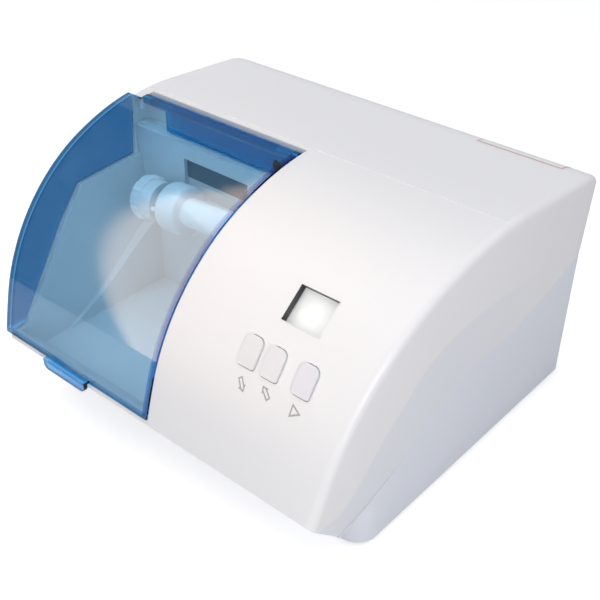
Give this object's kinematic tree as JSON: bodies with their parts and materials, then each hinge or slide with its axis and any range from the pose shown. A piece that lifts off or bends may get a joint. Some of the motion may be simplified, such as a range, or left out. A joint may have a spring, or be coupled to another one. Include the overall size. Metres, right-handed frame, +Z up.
{
  "type": "dental amalgamator",
  "caption": "Bench-top dental capsule mixer with a curved casing, hinged see-through lid over a motor-driven shaking arm, display window and keys on the sloping front",
  "frame": {"origin": "On the bench, under the middle of the whole machine's box.", "axes": "+X across the machine towards the key panel's side, +Y towards the back with the sockets, +Z up. The curved front with lid and keys faces -Y."},
  "size_m": [0.2462, 0.2314, 0.1487],
  "materials": {
    "case_plastic": "moulded casing, fine satin texture",
    "lid_acrylic": "clear blue acrylic",
    "tub_plastic": "moulded liner of the mixing chamber",
    "dark_foam": "open-cell sound foam",
    "steel": "plain steel",
    "switch_plastic": "black moulded parts",
    "window_clear": "clear window",
    "display_white": "display carrier",
    "board_laminate": "circuit board laminate",
    "screws": "zinc-plated screws",
    "key_plastic": "pale grey key caps",
    "grommet_rubber": "rubber",
    "bracket_steel": "zinc-plated bent sheet",
    "motor_steel": "motor can",
    "motor_cap_plastic": "brush end cap",
    "rotor_steel": "laminated rotor and shaft",
    "arm_aluminium": "turned and anodised",
    "jaw_plastic": "moulded clamp knob",
    "bronze": "sintered bushes",
    "core_steel": "varnished laminations",
    "coil_tape": "taped winding on a bobbin",
    "capacitor_sleeve": "sleeved can",
    "sink_aluminium": "black anodised extrusion"
  },
  "bodies": {
    "body": {"upper_case": "case_plastic", "lower_base": "case_plastic", "chamber_tub": "tub_plastic", "baffle_foam": "dark_foam", "hinge_pins": "steel", "lid_switch": "switch_plastic", "window_liner": "switch_plastic", "display_window": "window_clear", "display_module": "display_white", "control_board": "board_laminate", "board_screws": "screws", "button_switches": "switch_plastic", "pivot_pin": "steel", "pivot_clip": "steel", "arm_grommet": "grommet_rubber", "motor_bracket": "bracket_steel", "motor_housing": "motor_steel", "motor_end_cap": "motor_cap_plastic", "motor_magnets": "motor_steel", "motor_screws": "screws", "bracket_dampers": "grommet_rubber", "bracket_screws": "screws", "transformer_core": "core_steel", "transformer_coil": "coil_tape", "power_board": "board_laminate", "power_board_screws": "screws", "power_capacitor": "capacitor_sleeve", "power_relay": "switch_plastic", "heat_sink": "sink_aluminium", "mains_inlet": "switch_plastic", "switch_frame": "switch_plastic", "fuse_holder": "switch_plastic", "feet": "grommet_rubber", "case_screws": "screws", "tub_screws": "screws"},
    "lid": {"lid": "lid_acrylic", "lid_magnet": "steel"},
    "arm": {"swing_arm": "arm_aluminium", "arm_bushes": "bronze"},
    "jaw": {"clamp_jaw": "jaw_plastic"},
    "motor": {"rotor": "rotor_steel", "eccentric_hub": "rotor_steel", "crank_bearing": "steel"},
    "down_key": {"down_button": "key_plastic"},
    "up_key": {"up_button": "key_plastic"},
    "start_key": {"start_button": "key_plastic"},
    "rocker": {"power_rocker": "switch_plastic"}
  },
  "joints": [
    {"name": "lid_hinge", "type": "hinge", "parent": "body", "child": "lid", "pos_m": [-0.054, 0.00225, 0.1452], "axis": [-1, 0, 0], "range_deg": [0, 110]},
    {"name": "down_key_press", "type": "slide", "parent": "body", "child": "down_key", "axis": [0, 0.7194, -0.6946], "range_m": [0, 0.0008], "stiffness_N_per_m": 300, "springref_m": -0.001},
    {"name": "up_key_press", "type": "slide", "parent": "body", "child": "up_key", "axis": [0, 0.7194, -0.6946], "range_m": [0, 0.0008], "stiffness_N_per_m": 300, "springref_m": -0.001},
    {"name": "start_key_press", "type": "slide", "parent": "body", "child": "start_key", "axis": [0, 0.7194, -0.6946], "range_m": [0, 0.0008], "stiffness_N_per_m": 300, "springref_m": -0.001},
    {"name": "arm_swing", "type": "hinge", "parent": "body", "child": "arm", "pos_m": [0.017, -0.01975, 0.1075], "axis": [0, 1, 0], "range_deg": [0, 9.4]},
    {"name": "jaw_clamp", "type": "slide", "parent": "arm", "child": "jaw", "axis": [-0.9966, 0, -0.0819], "range_m": [0, 0.01], "stiffness_N_per_m": 300, "springref_m": -0.008},
    {"name": "motor_spin", "type": "hinge", "parent": "body", "child": "motor", "pos_m": [0.04291, -0.01975, 0.1075], "axis": [0, 1, 0], "continuous": true},
    {"name": "rocker_tilt", "type": "hinge", "parent": "body", "child": "rocker", "pos_m": [-0.025, 0.10675, 0.034], "axis": [-1, 0, 0], "range_deg": [0, 15]}
  ]
}
